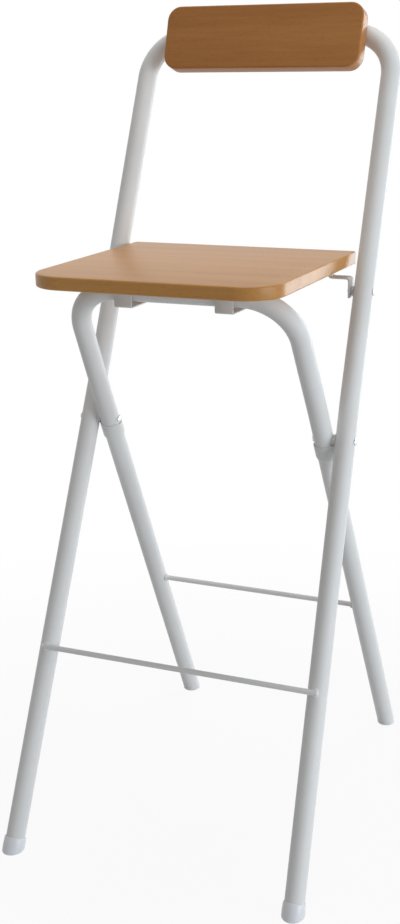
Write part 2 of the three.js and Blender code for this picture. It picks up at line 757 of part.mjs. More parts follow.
function seatBracket(side, label) {
  const mid = bracket_thickness / 2;
  const foot_z = -seating_gap - mid;
  const arm_z = -bracket_drop - mid;
  const step_start = bracket_foot_inner_x + bracket_foot_length;
  const leg_x = bracket_inner_x + mid;
  const centre_points = [
    [bracket_foot_inner_x, foot_z],
    [step_start, foot_z],
    [step_start + bracket_step_length, arm_z],
    [leg_x, arm_z],
    [leg_x, -pivot_below_seat - bracket_below_pivot],
  ];
  const strip = bentStrip(centre_points, bracket_bend_radius, bracket_thickness, bracket_width);
  strip.rotateX(Math.PI / 2);
  strip.translate(0, bracket_width / 2, 0);
  let body = strip;
  if (side < 0) body = mirrored(strip);
  const bores = [crossBore(seat_pivot, side, leg_x, rivet_radius + bore_gap, bracket_thickness)];
  for (const { name, place, grip } of seat_screws) {
    if (name.startsWith("bracket_screw_" + label)) bores.push(screwBore(place, seat_up, grip));
  }
  addPiece("seat_bracket_" + label, cut(placeOnSeat(body), bores), shaded_paint);
}

// The same body on the other side of the stool, with its faces still turned outwards.
function mirrored(geometry) {
  const flat = geometry.index ? geometry.toNonIndexed() : geometry.clone();
  const place = flat.getAttribute("position");
  for (let i = 0; i < place.count; i += 3) {
    const first = new THREE.Vector3().fromBufferAttribute(place, i);
    const second = new THREE.Vector3().fromBufferAttribute(place, i + 1);
    const third = new THREE.Vector3().fromBufferAttribute(place, i + 2);
    place.setXYZ(i, -first.x, first.y, first.z);
    place.setXYZ(i + 1, -third.x, third.y, third.z);
    place.setXYZ(i + 2, -second.x, second.y, second.z);
  }
  return flat;
}

function guideStrap(side, label) {
  const mid = guide_thickness / 2;
  const foot_z = -seating_gap - mid;
  const floor_z = -crossbar_below_seat - tube_radius - guide_play - mid;
  const centre_points = [
    [guide_front - mid - guide_foot_length, foot_z],
    [guide_front - mid, foot_z],
    [guide_front - mid, floor_z],
    [guide_rear + mid, floor_z],
    [guide_rear + mid, foot_z],
    [guide_rear + mid + guide_foot_length, foot_z],
  ];
  const body = bentStrip(centre_points, guide_bend_radius, guide_thickness, guide_width);
  body.rotateX(Math.PI / 2);
  body.rotateZ(Math.PI / 2);
  body.translate((side * guide_spacing) / 2 - guide_width / 2, 0, 0);
  const bores = [];
  for (const { name, place, grip } of seat_screws) {
    if (name.startsWith("guide_screw_" + label)) bores.push(screwBore(place, seat_up, grip));
  }
  addPiece("guide_strap_" + label, cut(placeOnSeat(body), bores), shaded_paint);
}

// Backrest

function backrest() {
  const half_height = backrest_height / 2;
  const radii = [backrest_corner_radius, backrest_corner_radius];
  const body = board(
    backrest_width / 2, -half_height, half_height, ...radii, backrest_thickness, backrest_edge_rounding,
  );
  body.rotateX(Math.PI / 2 - backrest_lean_angle);
  const back_middle = onFrontFrame(0, 0, front_top_above_pivot);
  back_middle.addScaledVector(backrest_up, -backrest_below_top_tube);
  back_middle.addScaledVector(backrest_forward, tube_radius + backrest_gap);
  body.translate(back_middle.x, back_middle.y, back_middle.z);
  const grip = tube_diameter + seating_gap + backrest_gap;
  const bores = backrest_screws.map(({ place }) => screwBore(place, backrest_forward, grip + screw_bite));
  addPiece("backrest_board", cut(body, bores), beech);
  for (const { side, place } of backrest_screws) {
    const label = side < 0 ? "left" : "right";
    addPiece("backrest_screw_" + label, woodScrew(place, backrest_forward, grip), screw_steel);
  }
}

// Feet

function frontFootCap(side, label) {
  const floor = onFrontFrame(side, front_half_width_at_floor, front_floor_along);
  const heading = onFrontFrame(side, front_half_width_at_pivot, 0).sub(floor).normalize();
  const under = tube_diameter;
  const inner = tube_radius + seating_gap;
  const outer = inner + cap_wall;
  const pocket = front_tube_end_above_floor - seating_gap;
  const outline = [
    [0, -under],
    [outer + cap_flare, -under],
    [outer + cap_flare, 0],
    [outer, cap_height - cap_rim_rounding],
    [outer - cap_rim_rounding / 2, cap_height],
    [inner, cap_height],
    [inner, pocket],
    [0, pocket],
  ];
  const cutters = [underFloor(0)];
  for (let i = 0; i < tread_groove_count; i++) {
    const offset = (i - (tread_groove_count - 1) / 2) * tread_groove_spacing;
    const groove_middle = floor.clone().add(new THREE.Vector3(0, offset, 0));
    cutters.push(block(groove_middle, 2 * tube_diameter, tread_groove_width, 2 * tread_groove_depth));
  }
  const cap = turned(outline, floor, heading, tube_sides);
  addPiece("front_foot_cap_" + label, cut(cap, cutters), white_plastic);
}

function rearFootPlug(side, label) {
  const { floor, heading } = rearLegAxis(side);
  const upward = heading.clone().negate();
  const stem_radius = tube_bore_radius - plug_stem_clearance;
  const flange_radius = tube_radius + plug_flange_lip;
  const under = tube_diameter;
  const flange_outline = [[0, -under], [flange_radius, -under], [flange_radius, under], [0, under]];
  const flange = turned(flange_outline, floor, upward, tube_sides);
  const flange_level = plug_flange_thickness - seating_gap;
  const slab = block(floor.clone().setZ(flange_level / 2), 2 * under, 2 * under, flange_level);
  const stem_end = (plug_flange_thickness + plug_stem_length) / Math.cos(rear_lean_angle);
  const stem_outline = [[0, 0], [stem_radius, 0], [stem_radius, stem_end], [0, stem_end]];
  const stem = turned(stem_outline, floor, upward, tube_sides);
  const body = cut(join([common(flange, slab), stem]), [underFloor(0)]);
  addPiece("rear_foot_plug_" + label, body, white_plastic);
}

frontFrameTube();
frontRung();
backrest();
rearUpperTube();
rearRung();
mainPivots();
seatPivots();
seatBoard();
for (const [side, label] of [[-1, "left"], [1, "right"]]) {
  frontFootCap(side, label);
  rearLeg(side, "rear_leg_" + label);
  rearFootPlug(side, label);
  seatBracket(side, label);
  guideStrap(side, label);
}
for (const { name, place, grip } of seat_screws) addPiece(name, woodScrew(place, seat_up, grip), screw_steel);

// Moves the stool so that the origin is under the middle of its outline.
const outline_box = new THREE.Box3().setFromObject(stool);
const outline_middle = outline_box.getCenter(new THREE.Vector3());
for (const piece of stool.children) piece.geometry.translate(-outline_middle.x, -outline_middle.y, 0);

export default stool;
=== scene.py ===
# Folding bar stool: two crossed frames of white tube, a wooden seat and a wooden backrest.
# Metres, Z up. The front of the stool faces -Y and the origin is on the floor under its middle.
import json
import math

import bmesh
import bpy
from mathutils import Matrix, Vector


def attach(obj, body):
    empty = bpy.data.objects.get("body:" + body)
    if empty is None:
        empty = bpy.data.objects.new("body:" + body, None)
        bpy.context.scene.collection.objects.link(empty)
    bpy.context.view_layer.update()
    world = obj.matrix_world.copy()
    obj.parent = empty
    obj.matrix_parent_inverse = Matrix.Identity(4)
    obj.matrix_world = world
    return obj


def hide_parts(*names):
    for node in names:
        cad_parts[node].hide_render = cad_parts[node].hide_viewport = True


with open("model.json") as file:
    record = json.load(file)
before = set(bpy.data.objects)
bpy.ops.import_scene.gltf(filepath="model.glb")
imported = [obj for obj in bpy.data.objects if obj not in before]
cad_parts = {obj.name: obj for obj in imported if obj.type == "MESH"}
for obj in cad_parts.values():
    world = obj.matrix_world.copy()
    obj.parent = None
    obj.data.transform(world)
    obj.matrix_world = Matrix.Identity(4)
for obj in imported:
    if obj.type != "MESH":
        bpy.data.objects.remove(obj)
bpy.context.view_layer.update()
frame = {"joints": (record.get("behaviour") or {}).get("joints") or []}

joint_place = {joint["name"]: Vector(joint["pos_m"]) for joint in frame["joints"]}

# Clearances
seating_gap = 0.0003
bore_gap = 0.0003
overrun = 0.004

# Frame tubes
tube_radius = 0.0125
tube_wall = 0.0015
tube_bore_radius = tube_radius - tube_wall
clear_radius = tube_radius + seating_gap
splay_bend_radius = 0.3
rivet_bore_ring_reach = 0.009
screw_bore_ring_reach = 0.006

# Front frame
front_lean = math.radians(24.7)
front_half_width_at_floor = 0.194
front_half_width_at_pivot = 0.177
front_half_width_at_top = 0.169
front_splay_bend_above_pivot = 0.05
front_top_above_pivot = 0.524
front_corner_bend_radius = 0.058

# Rear frame
rear_lean = math.radians(27)
rear_half_width_at_floor = 0.162
rear_half_width_at_pivot = 0.149
rear_half_width_at_top = 0.142
rear_splay_bend_above_pivot = 0.045
crossbar_above_pivot = 0.216
rear_corner_bend_radius = 0.064
socket_rim_below_pivot = 0.0035
socket_depth = 0.022
socket_taper = 0.004
socket_rim_rounding = 0.0006
socket_rim_ease = 0.3
socket_shoulder_length = 0.001
socket_shoulder_step = 0.0002
socket_mouth_gap = 0.00005
socket_mouth_length = 0.0006
socket_mouth_end = 0.001
socket_notch_gap = 0.0006
foot_block_size = 0.1

# Seat
seat_half_width = 0.1545
seat_depth = 0.305
seat_thickness = 0.016
seat_front_corner_radius = 0.047
seat_rear_corner_radius = 0.004
seat_edge_rounding = 0.0024
seat_tilt = math.radians(1.26)
seat_rear_overhang = 0.0295

# Seat brackets and guide straps
bracket_thickness = 0.0025
bracket_width = 0.0165
bracket_drop = 0.012
bracket_bend_radius = 0.004
bracket_foot_length = 0.034
bracket_step_length = 0.009
bracket_arm_length = 0.023
bracket_side_clearance = 0.001
bracket_below_pivot = 0.008
bracket_screw_spacing = 0.016
bracket_screw_margin = 0.008
bracket_edge_rounding = 0.0004
guide_width = 0.023
guide_thickness = 0.0015
guide_half_spacing = 0.065
guide_play = 0.0045
guide_end_clearance = 0.0015
guide_rear_stop_before_pivot = 0.006
guide_bend_radius = 0.0025
guide_foot_length = 0.018
guide_screw_margin = 0.008
guide_edge_rounding = 0.0003

# Backrest
backrest_half_width = 0.135
backrest_half_height = 0.041
backrest_thickness = 0.022
backrest_corner_radius = 0.018
backrest_edge_rounding = 0.0024
backrest_below_top_tube = 0.012
backrest_lean = front_lean - math.radians(6)
backrest_gap = 0.0005
backrest_screw_half_spacing = 0.075

# Rungs
rung_radius = 0.0035
front_rung_below_pivot = 0.31
front_rung_sink = 0.001
front_rung_past_leg_axis = 0.005
front_rung_end_rounding = 0.002
rear_rung_below_pivot = 0.318
bead_length = 0.009
bead_height = 0.005
bead_thickness = 0.004
bead_ripples = 5
bead_ripple_share = 0.05
weld_collar_radius = 0.0052
weld_collar_length = 0.004
weld_collar_gap = 0.0008
front_rung_merge = 0.00002

# Rivets and spacers
rivet_radius = 0.003
rivet_head_radius = 0.0046
rivet_head_height = 0.0024
rivet_head_rim_share = 0.12
rivet_head_foot_share = 0.97
rivet_tail_height = 0.002
rivet_tail_share = 0.85
# Shares of the tail's radius and height, from its end to its foot
rivet_tail_profile = ((0.62, 1), (0.86, 0.86), (0.97, 0.55), (1, 0.2), (0.98, 0))
dome_tip_share = 0.02
main_spacer_radius = 0.007
seat_spacer_radius = 0.006
spacer_edge_rounding = 0.0003
spacer_merge = 0.00003
spacer_edge_merge = 0.00001
fold_range = math.radians(37)

# Screws
screw_radius = 0.002
screw_head_radius = 0.0042
screw_head_height = 0.0026
# Shares of the head's radius and height, from its top to its foot
screw_head_profile = ((0.35, 1), (0.62, 0.97), (0.84, 0.82), (0.97, 0.5), (1, 0.15), (0.97, 0))
screw_bite = 0.011
screw_point_length = 0.003
screw_tip_share = 0.04
screw_recess_width = 0.001
screw_recess_length = 0.0044
screw_recess_depth = 0.0012

# Feet
cap_wall = 0.0012
cap_height = 0.017
cap_straight_height = 0.0075
cap_rim_rounding = 0.001
# Steps inwards and down from the rim's outer top corner
cap_rim_profile = ((0.0002, 0.0004), (0.0006, 0))
cap_mouth_chamfer = 0.0002
cap_flare = 0.0005
cap_floor_thickness = 0.003
cap_floor_edge_rounding = 0.002
groove_length = 0.05
groove_width = 0.0016
groove_depth = 0.001
groove_spacing = 0.006
groove_count = 3
plug_flange_thickness = 0.004
plug_flange_lip = 0.0003
plug_flange_rounding = 0.0008
plug_blank_reach = 0.025
plug_stem_start = 0.006
plug_stem_length = 0.018
plug_stem_clearance = 0.0004
plug_stem_chamfer = 0.001

# Fineness
tube_sides = 56
round_sides = 40
bore_sides = 24
bead_sides = 32
bead_rings = 20
corner_steps = 28
splay_steps = 4
strip_bend_steps = 6
board_corner_steps = 16
soft_edge_steps = 5
strip_edge_steps = 2
flange_edge_steps = 4
rung_end_steps = 5
weld_collar_steps = 6
rivet_dome_steps = 7
fold_steps = 8

# Angles in degrees past which an edge between two faces stays sharp, or is rounded
tube_crease = 30
moulded_crease = 35
cut_crease = 40
rivet_crease = 45
strip_edge_angle = 50
flange_edge_angle = 40

# Distances below which two places are the same, and a move or a share that is none
touching = 1e-6
almost_touching = 1e-5
negligible = 1e-7

X = Vector((1, 0, 0))
Y = Vector((0, 1, 0))
Z = Vector((0, 0, 1))
sides = {"left": -1, "right": 1}


# Places on the stool

main_pivot = joint_place["frame_fold"]
seat_pivot = joint_place["seat_tilt"]
front_floor_along = -main_pivot.z / math.cos(front_lean)
rear_floor_along = -main_pivot.z / math.cos(rear_lean)
front_up = Vector((0, math.sin(front_lean), math.cos(front_lean)))
front_forward = Vector((0, -math.cos(front_lean), math.sin(front_lean)))
rear_up = Vector((0, -math.sin(rear_lean), math.cos(rear_lean)))
backrest_up = Vector((0, math.sin(backrest_lean), math.cos(backrest_lean)))
backrest_forward = Vector((0, -math.cos(backrest_lean), math.sin(backrest_lean)))
seat_forward = Vector((0, -math.cos(seat_tilt), math.sin(seat_tilt)))
seat_up = Vector((0, math.sin(seat_tilt), math.cos(seat_tilt)))


def on_front_frame(x, along, forward=0.0):
    return main_pivot + X * x + front_up * along + front_forward * forward


def on_rear_frame(x, along):
    return main_pivot + X * x + rear_up * along


def width_between(low_along, low_width, high_along, high_width, along):
    share = (along - low_along) / (high_along - low_along)
    return low_width + (high_width - low_width) * share


def front_width_below(along):
    return width_between(
        front_floor_along, front_half_width_at_floor, 0, front_half_width_at_pivot, along
    )


def rear_width_below(along):
    return width_between(
        rear_floor_along, rear_half_width_at_floor, 0, rear_half_width_at_pivot, along
    )


front_splay_half_width = front_width_below(front_splay_bend_above_pivot)
rear_splay_half_width = rear_width_below(rear_splay_bend_above_pivot)
seat_pivot_half_width = width_between(
    front_splay_bend_above_pivot,
    front_splay_half_width,
    front_top_above_pivot,
    front_half_width_at_top,
    (seat_pivot - main_pivot).length,
)
front_tube_end_above_floor = (
    cap_floor_thickness + tube_radius * math.sin(front_lean)
) / math.cos(front_lean)
crossbar_middle = on_rear_frame(0, crossbar_above_pivot)
crossbar_before_pivot = (crossbar_middle - seat_pivot).dot(seat_forward)
pivot_below_seat = clear_radius + (crossbar_middle - seat_pivot).dot(seat_up)


def on_seat(x, y, z):
    """A place at the seat: y from the pivot line to the back, z from the underside up."""
    return seat_pivot + X * x - seat_forward * y + seat_up * (z + pivot_below_seat)


# Modelling by hand


def select_nothing():
    bpy.ops.object.select_all(action="DESELECT")


def select_all_of_it():
    bpy.ops.mesh.select_all(action="SELECT")


def begin(name):
    """Names the primitive that was just added, and opens it for editing with all selected."""
    piece = bpy.context.object
    piece.name = name
    piece.data.name = name
    bpy.ops.object.transform_apply(location=True, rotation=True, scale=True)
    bpy.ops.object.mode_set(mode="EDIT")
    bpy.ops.mesh.select_mode(type="VERT")
    select_all_of_it()
    return piece


def start_ring(name, place, heading, radius, count, filled=False):
    select_nothing()
    bpy.ops.mesh.primitive_circle_add(
        vertices=count,
        radius=radius,
        fill_type="NGON" if filled else "NOTHING",
        location=place,
        rotation=heading.to_track_quat("Z", "Y").to_euler(),
    )
    return begin(name)


def push(offset):
    """Draws the selected outline out by an offset."""
    if offset.length > negligible:
        bpy.ops.mesh.extrude_region_move(TRANSFORM_OT_translate={"value": offset})


def widen(factor, centre):
    if abs(factor - 1) > negligible:
        bpy.ops.transform.resize(value=(factor,) * 3, center_override=centre)


def sweep(corners, radii, steps):
    """Draws the selected outline along straight runs with round bends between them."""
    place = corners[0]
    heading = (corners[1] - corners[0]).normalized()
    for i, corner in enumerate(corners[1:-1]):
        heading_out = (corners[i + 2] - corner).normalized()
        turn = heading.angle(heading_out)
        reach = radii[i] * math.tan(turn / 2)
        bend_start = corner - heading * reach
        push(bend_start - place)
        axis = heading.cross(heading_out).normalized()
        centre = bend_start + axis.cross(heading) * radii[i]
        bpy.ops.mesh.spin(steps=steps[i], angle=-turn, center=centre, axis=axis)
        place = corner + heading_out * reach
        heading = heading_out
    push(corners[-1] - place)


def choose(piece):
    """Selects one piece alone and makes it the active one."""
    select_nothing()
    piece.select_set(True)
    bpy.context.view_layer.objects.active = piece


def reopen(piece):
    """Opens a finished piece for editing with all of it selected."""
    choose(piece)
    bpy.ops.object.mode_set(mode="EDIT")
    bpy.ops.mesh.select_mode(type="VERT")
    select_all_of_it()


def pick(piece, kind, test):
    """Selects the points or the edges that pass a test, and says whether there are any."""
    bpy.ops.mesh.select_mode(type=kind)
    bpy.ops.mesh.select_all(action="DESELECT")
    mesh = bmesh.from_edit_mesh(piece.data)
    chosen = [part for part in (mesh.verts if kind == "VERT" else mesh.edges) if test(part)]
    for part in chosen:
        part.select = True
    mesh.select_flush_mode()
    bmesh.update_edit_mesh(piece.data)
    return bool(chosen)


def ends(edge):
    return [vert.co for vert in edge.verts]


def close(piece):
    """Merges what touches, turns the faces outwards and leaves edit mode."""
    bpy.ops.mesh.select_mode(type="VERT")
    select_all_of_it()
    bpy.ops.mesh.remove_doubles(threshold=touching)
    bpy.ops.mesh.normals_make_consistent(inside=False)
    bpy.ops.object.mode_set(mode="OBJECT")
    return piece


def use(piece, kind, **settings):
    """Adds one modifier to a piece and applies it."""
    choose(piece)
    modifier = piece.modifiers.new(kind.lower(), kind)
    for key, value in settings.items():
        setattr(modifier, key, value)
    bpy.ops.object.modifier_apply(modifier=modifier.name)


def cut(piece, cutters, operation="DIFFERENCE"):
    for cutter in cutters:
        use(piece, "BOOLEAN", operation=operation, solver="EXACT", object=cutter)
        bpy.data.objects.remove(cutter)


def merge_close(piece, distance):
    """Merges the points that cuts have left almost on top of each other."""
    reopen(piece)
    bpy.ops.mesh.remove_doubles(threshold=distance)
    bpy.ops.mesh.dissolve_degenerate(threshold=distance)
    bpy.ops.object.mode_set(mode="OBJECT")


def draw_together_doubled_edges(piece):
    """Collapses each short edge that more than two faces share, so that the skin closes."""
    reopen(piece)
    if pick(piece, "EDGE", lambda edge: len(edge.link_faces) > 2):
        bpy.ops.mesh.merge(type="COLLAPSE")
    bpy.ops.object.mode_set(mode="OBJECT")


def round_edges(piece, width, segments=strip_edge_steps, angle=strip_edge_angle):
    use(
        piece,
        "BEVEL",
        width=width,
        segments=segments,
        limit_method="ANGLE",
        angle_limit=math.radians(angle),
        use_clamp_overlap=True,
    )


def smooth(piece, crease=tube_crease):
    choose(piece)
    bpy.ops.object.shade_smooth_by_angle(angle=math.radians(crease))


def turned(name, outline, place, heading, count=round_sides, hollow=False, pole=False):
    """A turned piece. Its outline is pairs of a radius and a distance along the axis.

    The outline of a hollow piece closes on itself.
    """
    heading = heading.normalized()
    radius, along = outline[0]
    piece = start_ring(name, place + heading * along, heading, radius, count, not hollow)
    for next_radius, next_along in outline[1:]:
        centre = place + heading * next_along
        bpy.ops.mesh.extrude_region_move(
            TRANSFORM_OT_translate={"value": heading * (next_along - along)}
        )
        widen(next_radius / radius, centre)
        radius, along = next_radius, next_along
    if pole:
        bpy.ops.mesh.merge(type="CENTER")
    return close(piece)


def rod(name, start, end, radius, count=tube_sides):
    return turned(name, [(radius, 0), (radius, (end - start).length)], start, end - start, count)


def slab(name, middle, size):
    """A cutting block."""
    select_nothing()
    bpy.ops.mesh.primitive_cube_add(size=1, location=middle, scale=size)
    return close(begin(name))


def cross_bore(centre, side, half_width, radius, reach=tube_radius):
    inner = Vector((side * (half_width - reach - overrun), centre.y, centre.z))
    outer = Vector((side * (half_width + reach + overrun), centre.y, centre.z))
    return rod("bore", inner, outer, radius, bore_sides)


def ring_cuts(piece, places, heading):
    """Extra rings round a tube, so that a bore stays in a short stretch of it."""
    reopen(piece)
    for place in places:
        select_all_of_it()
        bpy.ops.mesh.bisect(plane_co=place, plane_no=heading)
    bpy.ops.object.mode_set(mode="OBJECT")


# Finishes

unstretched = (1.0, 1.0, 1.0)
no_change = (1.0, 1.0, 1.0)


def new_finish(name):
    finish = bpy.data.materials.new(name)
    finish.use_nodes = True
    return finish, finish.node_tree, finish.node_tree.nodes["Principled BSDF"]


def add_node(tree, kind, **settings):
    node = tree.nodes.new(kind)
    for key, value in settings.items():
        setattr(node, key, value)
    return node


def set_values(node, **values):
    for name, value in values.items():
        node.inputs[name.replace("_", " ")].default_value = value


def noise_on(tree, coordinates, scale, detail, roughness=0.5):
    noise = add_node(tree, "ShaderNodeTexNoise")
    set_values(noise, Scale=scale, Detail=detail, Roughness=roughness)
    tree.links.new(coordinates, noise.inputs["Vector"])
    return noise.outputs["Fac"]


def stretched(tree, scale, turn=(0.0, 0.0, 0.0)):
    """Object coordinates, turned and scaled for a pattern that runs one way."""
    place = add_node(tree, "ShaderNodeTexCoord")
    mapping = add_node(tree, "ShaderNodeMapping")
    set_values(mapping, Scale=scale, Rotation=turn)
    tree.links.new(place.outputs["Object"], mapping.inputs["Vector"])
    return mapping.outputs["Vector"]


def ramp_on(tree, value, stops):
    ramp = add_node(tree, "ShaderNodeValToRGB")
    elements = ramp.color_ramp.elements
    while len(elements) < len(stops):
        elements.new(0.5)
    for element, (position, colour) in zip(elements, stops):
        element.position = position
        element.color = (*colour, 1)
    tree.links.new(value, ramp.inputs["Fac"])
    return ramp.outputs["Color"]


def range_on(tree, value, low, high, from_low=0.0, from_high=1.0):
    spread = add_node(tree, "ShaderNodeMapRange")
    set_values(spread, From_Min=from_low, From_Max=from_high, To_Min=low, To_Max=high)
    tree.links.new(value, spread.inputs["Value"])
    return spread.outputs["Result"]


def roughness_on(tree, shader, value, low, high):
    tree.links.new(range_on(tree, value, low, high), shader.inputs["Roughness"])


def bump_on(tree, shader, height, depth, strength=1.0):
    bump = add_node(tree, "ShaderNodeBump")
    set_values(bump, Distance=depth, Strength=strength)
    tree.links.new(height, bump.inputs["Height"])
    tree.links.new(bump.outputs["Normal"], shader.inputs["Normal"])


def darkened(tree, share, colour, pattern):
    """A colour multiplied with a pattern's colour by a share."""
    mix = add_node(tree, "ShaderNodeMix", data_type="RGBA", blend_type="MULTIPLY")
    share_socket, first_socket, second_socket = (mix.inputs[i] for i in (0, 6, 7))
    share_socket.default_value = share
    tree.links.new(colour, first_socket)
    tree.links.new(pattern, second_socket)
    return mix.outputs[2]


def cloudy_skin(name, tones, clouds, grain_scale, roughness, index):
    """A pale skin with a fine grain, and faint clouds between a dark and a light tone."""
    finish, tree, shader = new_finish(name)
    plain = stretched(tree, unstretched)
    cloud_scale, cloud_detail = clouds
    pattern = noise_on(tree, plain, cloud_scale, cloud_detail)
    colour = ramp_on(tree, pattern, list(zip((0.35, 0.65), tones)))
    tree.links.new(colour, shader.inputs["Base Color"])
    grain = noise_on(tree, plain, grain_scale, detail=1.0)
    roughness_on(tree, shader, grain, *roughness)
    bump_on(tree, shader, grain, depth=0.00001)
    set_values(shader, IOR=index)
    return finish


def powder_coat(name, light, dark, roughness):
    """Satin powder coat with an orange-peel skin."""
    spread = (roughness - 0.05, roughness + 0.07)
    return cloudy_skin(
        name, (dark, light), clouds=(9.0, 4.0), grain_scale=600.0, roughness=spread, index=1.3
    )


def moulded_plastic(name, light, dark, roughness):
    """Moulded plastic with a spark-eroded grain."""
    spread = (roughness - 0.06, roughness + 0.06)
    return cloudy_skin(
        name, (dark, light), clouds=(60.0, 3.0), grain_scale=1000.0, roughness=spread, index=1.55
    )


def beech_wood(name, tones, lacquer_index, turn=(0.0, 0.0, 0.0)):
    """Beech under a clear lacquer, with the grain running from side to side."""
    finish, tree, shader = new_finish(name)
    band_place = stretched(tree, (1.2, 16.0, 16.0), turn)
    streak_place = stretched(tree, (4.0, 60.0, 60.0), turn)
    fleck_place = stretched(tree, (160.0, 1300.0, 1300.0), turn)
    bands = noise_on(tree, band_place, scale=1.6, detail=5.0, roughness=0.55)
    colour = ramp_on(tree, bands, list(zip((0.3, 0.5, 0.72), tones)))
    streaks = noise_on(tree, streak_place, scale=4.0, detail=6.0, roughness=0.6)
    streak_colour = ramp_on(tree, streaks, [(0.32, (0.84, 0.78, 0.72)), (0.62, no_change)])
    colour = darkened(tree, 0.55, colour, streak_colour)
    flecks = noise_on(tree, fleck_place, scale=1.0, detail=1.0)
    fleck_colour = ramp_on(tree, flecks, [(0.28, (0.62, 0.5, 0.42)), (0.36, no_change)])
    colour = darkened(tree, 0.6, colour, fleck_colour)
    tree.links.new(colour, shader.inputs["Base Color"])
    roughness_on(tree, shader, streaks, 0.3, 0.42)
    bump_on(tree, shader, flecks, depth=0.00002, strength=0.6)
    set_values(shader, IOR=lacquer_index)
    return finish


def plated_steel(name, light, dark, roughness):
    """Zinc plate with faint turning marks and rubbed patches."""
    finish, tree, shader = new_finish(name)
    patches = noise_on(tree, stretched(tree, unstretched), scale=260.0, detail=4.0)
    colour = ramp_on(tree, patches, [(0.3, dark), (0.7, light)])
    tree.links.new(colour, shader.inputs["Base Color"])
    mark_place = stretched(tree, (3000.0, 300.0, 300.0))
    marks = noise_on(tree, mark_place, scale=1.0, detail=2.0)
    roughness_on(tree, shader, marks, roughness - 0.08, roughness + 0.1)
    bump_on(tree, shader, marks, depth=0.00002)
    set_values(shader, Metallic=0.9)
    return finish


white_paint = powder_coat("white_powder_coat", (0.88, 0.88, 0.875), (0.84, 0.84, 0.838), 0.44)
strip_paint = powder_coat("off_white_strip_paint", (0.80, 0.80, 0.79), (0.75, 0.745, 0.735), 0.42)
seat_tones = ((0.51, 0.228, 0.05), (0.57, 0.268, 0.064), (0.62, 0.305, 0.078))
# The backrest's beech is the seat's beech made darker: painted shade on the backrest, whose front
# faces away from the lamps.
backrest_tones_painted_shade = ((0.43, 0.178, 0.046), (0.49, 0.21, 0.059), (0.54, 0.242, 0.074))
seat_beech = beech_wood("seat_beech", seat_tones, 1.42)
backrest_turn = (-math.pi / 2 + backrest_lean, 0.0, 0.0)
backrest_beech_painted_shade = beech_wood("backrest_beech_painted_shade", backrest_tones_painted_shade, 1.3, backrest_turn)
foot_plastic = moulded_plastic("white_foot_plastic", (0.88, 0.90, 0.94), (0.85, 0.87, 0.91), 0.34)
spacer_plastic = moulded_plastic("grey_spacer_plastic", (0.66, 0.66, 0.66), (0.60, 0.60, 0.60), 0.5)
rivet_zinc = plated_steel("rivet_zinc", (0.90, 0.90, 0.91), (0.80, 0.80, 0.81), 0.34)
screw_zinc = plated_steel("screw_zinc", (0.74, 0.74, 0.75), (0.60, 0.60, 0.61), 0.32)


def hand_over(piece, finish, body, slot, *nodes):
    """Gives a finished piece its material and its body, and hides the imported parts that it stands
    for.
    """
    piece.data.materials.clear()
    piece.data.materials.append(finish)
    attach(piece, body)
    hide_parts(*nodes)


# Tubes


def frame_hoop(name, left_corners, corner_radius, bore_lines, heading):
    """An inverted U of tube with its wall, and the bores for its rivets."""
    right_corners = [Vector((-place.x, place.y, place.z)) for place in reversed(left_corners)]
    piece = start_ring(
        name, left_corners[0], left_corners[1] - left_corners[0], tube_radius, tube_sides
    )
    radii = [splay_bend_radius, corner_radius, corner_radius, splay_bend_radius]
    steps = [splay_steps, corner_steps, corner_steps, splay_steps]
    sweep(left_corners + right_corners, radii, steps)
    close(piece)
    reaches = (-rivet_bore_ring_reach, rivet_bore_ring_reach)
    rings = [centre + heading * reach for centre, _ in bore_lines for reach in reaches]
    ring_cuts(piece, rings, heading)
    use(piece, "SOLIDIFY", thickness=tube_wall, offset=-1, use_even_offset=True, use_rim=True)
    for centre, half_width in bore_lines:
        for side in sides.values():
            cut(piece, [cross_bore(centre, side, half_width, rivet_radius + bore_gap)])
    return piece


def make_front_tube():
    end_along = front_floor_along + front_tube_end_above_floor
    corners = [
        on_front_frame(-front_width_below(end_along), end_along),
        on_front_frame(-front_splay_half_width, front_splay_bend_above_pivot),
        on_front_frame(-front_half_width_at_top, front_top_above_pivot),
    ]
    bore_lines = [
        (main_pivot, front_half_width_at_pivot),
        (seat_pivot, seat_pivot_half_width),
    ]
    tube = frame_hoop("front_tube", corners, front_corner_bend_radius, bore_lines, front_up)
    half_bore = backrest_forward * (tube_radius + overrun)
    bores = []
    rings = []
    for side in sides.values():
        place = on_front_frame(side * backrest_screw_half_spacing, front_top_above_pivot)
        bores.append(
            rod("bore", place - half_bore, place + half_bore, screw_radius + bore_gap, bore_sides)
        )
        for reach in (-screw_bore_ring_reach, screw_bore_ring_reach):
            rings.append(X * side * (backrest_screw_half_spacing + reach))
    ring_cuts(tube, rings, X)
    cut(tube, bores)
    smooth(tube)
    hand_over(tube, white_paint, "front_frame", "paint", "front_frame_tube")


def make_rear_tube():
    end_along = -socket_rim_below_pivot - socket_depth + seating_gap
    corners = [
        on_rear_frame(-rear_width_below(end_along), end_along),
        on_rear_frame(-rear_splay_half_width, rear_splay_bend_above_pivot),
        on_rear_frame(-rear_half_width_at_top, crossbar_above_pivot),
    ]
    bore_lines = [(main_pivot, rear_half_width_at_pivot)]
    tube = frame_hoop("rear_tube", corners, rear_corner_bend_radius, bore_lines, rear_up)
    smooth(tube)
    hand_over(tube, white_paint, "rear_frame", "paint", "rear_upper_tube")


def rear_leg_line(side):
    top = on_rear_frame(side * rear_width_below(-socket_rim_below_pivot), -socket_rim_below_pivot)
    floor = on_rear_frame(side * rear_half_width_at_floor, rear_floor_along)
    return top, floor, (floor - top).normalized()


